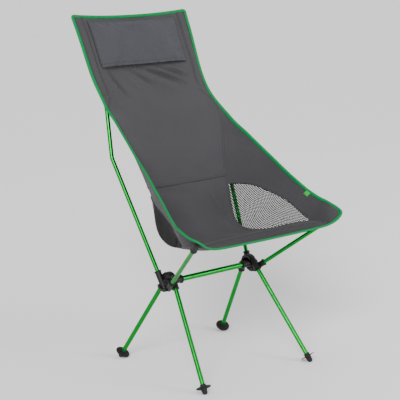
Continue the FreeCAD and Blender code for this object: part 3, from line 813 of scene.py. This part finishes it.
def binding_path():
    """The whole edge of the sling as one closed line, with the way in toward the cloth at each point."""
    right = [(in_frame(p), DOWN_THE_BACK) for p in TOP_EDGE]
    corner_ways = np.array([(-.45, -.40, -.80), (-.80, -.28, -.55)])
    right += [(in_frame(p), way) for p, way in zip(TOP_CORNER, corner_ways)]
    for down in np.concatenate([[CORNER_DOWN, .05], DOWN[1:]]):
        edge, seam = edge_at(down), seam_at(down)
        right.append((edge, unit(seam - edge)))
    right += [(in_frame(rim), unit(in_frame(hinge) - in_frame(rim))) for hinge, rim in TONGUE]
    right += [(in_frame(p), unit(np.array((0, .007, -.0022)))) for p in FRONT_EDGE[1:]]
    left = [(p * (-1, 1, 1), way * (-1, 1, 1)) for p, way in right[-2:0:-1]]
    knots, ways = (np.array(column) for column in zip(*(right + left + right[:1])))
    at = lengths(knots)
    places = np.linspace(0, at[-1], int(at[-1] / .004))[:-1]
    lap = 7                      # knots repeated past the joint, so that the line is smooth across it
    knots, ways = (np.concatenate([line[-lap - 1:-1], line, line[1:lap + 1]]) for line in (knots, ways))
    at = lengths(knots)
    at -= at[lap]
    return spline(at, knots)(places), unit(spline(at, ways)(places))


def binding():
    path, way = binding_path()
    half = TAPE_T / 2
    upper = [(TAPE_W, half * .35), (TAPE_W * .82, half * .72), (TAPE_W * .55, half), (.0026, half * .92),
             (.0008, half * .55)]
    section = upper + [(0, 0)] + [(reach, -height) for reach, height in upper[::-1]]
    made = folded_strip("edge_binding", path, way, section, TAPE)
    finer = made.modifiers.new("finer", "SUBSURF")
    finer.levels = finer.render_levels = 1
    thicken(made, .0005)
    on_sling(made, ("edge_tape_right", "edge_tape_left", "top_tape", "front_tape"))
    along = unit(np.roll(path, -1, axis=0) - np.roll(path, 1, axis=0))
    out = unit(np.cross(along, way))
    rows = []
    for hand in (1, -1):
        line = path + way * TAPE_W * .78 + out * hand * half * .76
        rows.append((line, out * hand))
    stitches("binding_stitches", rows, GREEN_THREAD, width=.0005)


def label():
    """A small folded tab of plain woven tape, sewn in under the binding."""
    low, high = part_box("blank_label")
    centre_point = np.array((low + high) / 2)
    first, last = DOWN[LABEL_STATION], DOWN[LABEL_STATION + 1]
    apart = [np.linalg.norm(edge_at(d) - centre_point) for d in np.arange(first, last, .001)]
    down = first + np.argmin(apart) * .001
    edge, seam = edge_at(down), seam_at(down)
    way, along = unit(seam - edge), unit(edge_at(down + .005) - edge_at(down - .005))
    out = np.cross(along, way)
    out = out if out[2] > 0 or out[0] < 0 else -out
    reach = np.linspace(.004, .0205, 12)
    wide = np.linspace(-.0075, .0075, 8)
    curl = .0022 + .0012 * np.sin(np.linspace(0, math.pi, 12))
    top = np.array([[edge + way * r + along * w + out * c for w in wide] for r, c in zip(reach, curl)])
    back_way = top[::-1] - out * np.linspace(.0008, .0010, 12)[:, None, None]
    grid = np.concatenate([top, back_way])
    cloth("label_tab", grid, LABEL, ("blank_label",), thickness=.0003)


# ---- pillow ----------------------------------------------------------------------------------------------

def pillow():
    """The cover is cloth sewn down on three sides and blown out by its filling; the pad lies inside it."""
    rows, columns = 64, 110
    downs = np.linspace(PILLOW_START, PILLOW_END, rows)
    base = grid_of(centre, downs, np.linspace(-PILLOW_REACH, PILLOW_REACH, columns))
    out = normals(base)
    i, j = np.linspace(0, 1, rows)[:, None], np.linspace(-1, 1, columns)[None, :]
    sewn = smooth(i, 0, .14) * (1 - np.abs(j) ** 8)
    fullness = (.75 + .25 * smooth(1 - i, 0, .5)) * sewn
    start = base + out * (.0030 + PILLOW_PUFF * fullness)[..., None]
    cover = blown(start, base, out, i, j)
    cover = cover + out * gathers(i, j)[..., None]
    cut = start * (1 + PILLOW_EASE)
    cloth("pillow_cover_cloth", cover, PILLOW_CLOTH, ("pillow_cover",), taut=cut)
    padding(base, out, cover)
    cover_out = normals(cover)
    sewn_rows = [row_beside(cover, cover_out, hand, .0030, 0, 1) for hand in (-1, 1)]
    sewn_rows += [row_across(cover, cover_out, .0030, from_top=True), row_across(cover, cover_out, .0100)]
    return sewn_rows


def gathers(i, j):
    """Small upright gathers that rise from the cover's lower hem and die out above it."""
    draw = np.random.default_rng(5)
    height = np.zeros(np.broadcast_shapes(i.shape, j.shape))
    for _ in range(16):
        place, lean = draw.uniform(-.85, .85), draw.uniform(-.06, .06)
        width, tall = draw.uniform(.018, .045), draw.uniform(.0010, .0026)
        top = draw.uniform(.45, .75)
        fade = smooth(i, top, .93) * (1 - .5 * smooth(i, .95, 1.0))
        height = height + tall * fade * np.cos((j - place - lean * (1 - i)) / width) \
            * np.exp(-((j - place - lean * (1 - i)) / (2.2 * width)) ** 2)
    return height * (1 - np.abs(j) ** 6) - .0006


def blown(start, base, out, i, j):
    """Cloth simulation of the cover: pinned along its sewn sides and pressed out from behind."""
    made = piece("pillow_trial", start, quads(*start.shape[:2]), PILLOW_CLOTH)
    pinned = made.vertex_groups.new(name="sewn")
    rows, columns = start.shape[:2]
    held = (i < .03) | (np.abs(j) > .985)
    for where, weight in ((held, 1.0), (i > .985, .6)):
        found = np.flatnonzero(np.broadcast_to(where, (rows, columns)).ravel())
        pinned.add([int(k) for k in found], weight, "REPLACE")
    cover = made.modifiers.new("cloth", "CLOTH")
    cover.settings.quality = 6
    cover.settings.mass = .2
    cover.settings.tension_stiffness = 25
    cover.settings.bending_stiffness = 2.5
    cover.settings.shrink_min = -PILLOW_EASE
    cover.settings.shrink_max = -PILLOW_EASE
    cover.settings.vertex_group_mass = "sewn"
    cover.settings.use_pressure = True
    cover.settings.uniform_pressure_force = 1.5
    cover.settings.effector_weights.gravity = 0
    scene = bpy.context.scene
    for number in range(1, 21):
        scene.frame_set(number)
    shown = made.evaluated_get(bpy.context.evaluated_depsgraph_get())
    points = np.zeros(rows * columns * 3)
    shown.data.vertices.foreach_get("co", points)
    points = points.reshape(start.shape)
    scene.frame_set(1)
    bpy.data.objects.remove(made)
    move = points - start
    far = np.linalg.norm(move, axis=2, keepdims=True)
    points = start + move * np.minimum(1, .008 / np.maximum(far, 1e-9))
    lift = ((points - base) * out).sum(axis=2, keepdims=True)
    return points + out * np.maximum(0, .0030 - lift)


def padding(base, out, cover):
    """The soft pad that fills the pillow, between the back panel and the cover."""
    rows, columns = base.shape[:2]
    room = ((cover - base) * out).sum(axis=2)
    for axis in (0, 1):
        room = np.minimum(room, np.minimum(np.roll(room, 1, axis), np.roll(room, -1, axis)))
    front = base + out * np.maximum(room - .0030, .0012)[..., None]
    back = base + out * .0008
    inner = slice(3, rows - 5), slice(4, columns - 4)
    front, back = front[inner], back[inner]
    skin = np.concatenate([front, back[:, ::-1]], axis=1)
    count = skin.shape[1]
    faces = quads(len(skin), count, wrap=True)
    half = count // 2
    for last in (0, len(skin) - 1):
        for j in range(half - 1):
            face = tuple(last * count + k for k in (j, j + 1, count - 2 - j, count - 1 - j))
            faces.append(face if last == 0 else face[::-1])
    made = piece("pillow_filling", skin, faces, SLOT_LOOKS["padding"])
    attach(made, "sling")
    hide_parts("pillow_pad")


# ---- studio ----------------------------------------------------------------------------------------------

def light(name, kind, place, energy, aim, **settings):
    lamp = bpy.data.lights.new(name, kind)
    lamp.energy = energy
    for key, value in settings.items():
        setattr(lamp, key, value)
    made = bpy.data.objects.new(name, lamp)
    made.location = place
    made.rotation_euler = (Vector(aim) - Vector(place)).to_track_quat("-Z", "Y").to_euler()
    bpy.context.scene.collection.objects.link(made)


def studio():
    floor = piece("floor", [(-30, -30, 0), (30, -30, 0), (30, 30, 0), (-30, 30, 0)], [(0, 1, 2, 3)], paper())
    middle = (0, 0, .5)
    light("key", "SUN", (-3.0, -2.4, 2.9), 3.1, middle, angle=.45)
    light("fill", "AREA", (2.2, -3.4, 1.6), 85, middle, shape="DISK", size=1.8)
    world = bpy.data.worlds.new("studio")
    world.use_nodes = True
    world.node_tree.nodes["Background"].inputs["Color"].default_value = (1, 1, 1, 1)
    world.node_tree.nodes["Background"].inputs["Strength"].default_value = .74
    bpy.context.scene.world = world


def paper():
    look = Look("white_paper", Roughness=.9)
    tone = look.noise(3.0)
    look.set("Base Color", look.mix(tone, (.93, .93, .93, 1), (.97, .97, .97, 1)))
    return look.material


def camera():
    azimuth, elevation, distance = math.radians(-39.92), math.radians(12.46), 3.640
    aim = Vector((.038, .0364, .4582))
    back = Vector((math.sin(azimuth) * math.cos(elevation), -math.cos(azimuth) * math.cos(elevation),
                   math.sin(elevation)))
    lens = bpy.data.cameras.new("camera")
    lens.lens, lens.sensor_width = 110.4, 36.0
    made = bpy.data.objects.new("camera", lens)
    made.location = aim + back * distance
    made.rotation_euler = (-back).to_track_quat("-Z", "Y").to_euler()
    bpy.context.scene.collection.objects.link(made)
    bpy.context.scene.camera = made


dress_the_frame()
sewing = back_panel() + seat_panel() + side_panels() + pole_sleeves() + pillow()
mesh_windows()
corner_tongues()
corner_pockets()
binding()
label()
# The stitch rows in the dark seam thread, which also paints the seams' shadow.
stitches("seam_stitches", sewing, THREAD)
studio()
camera()
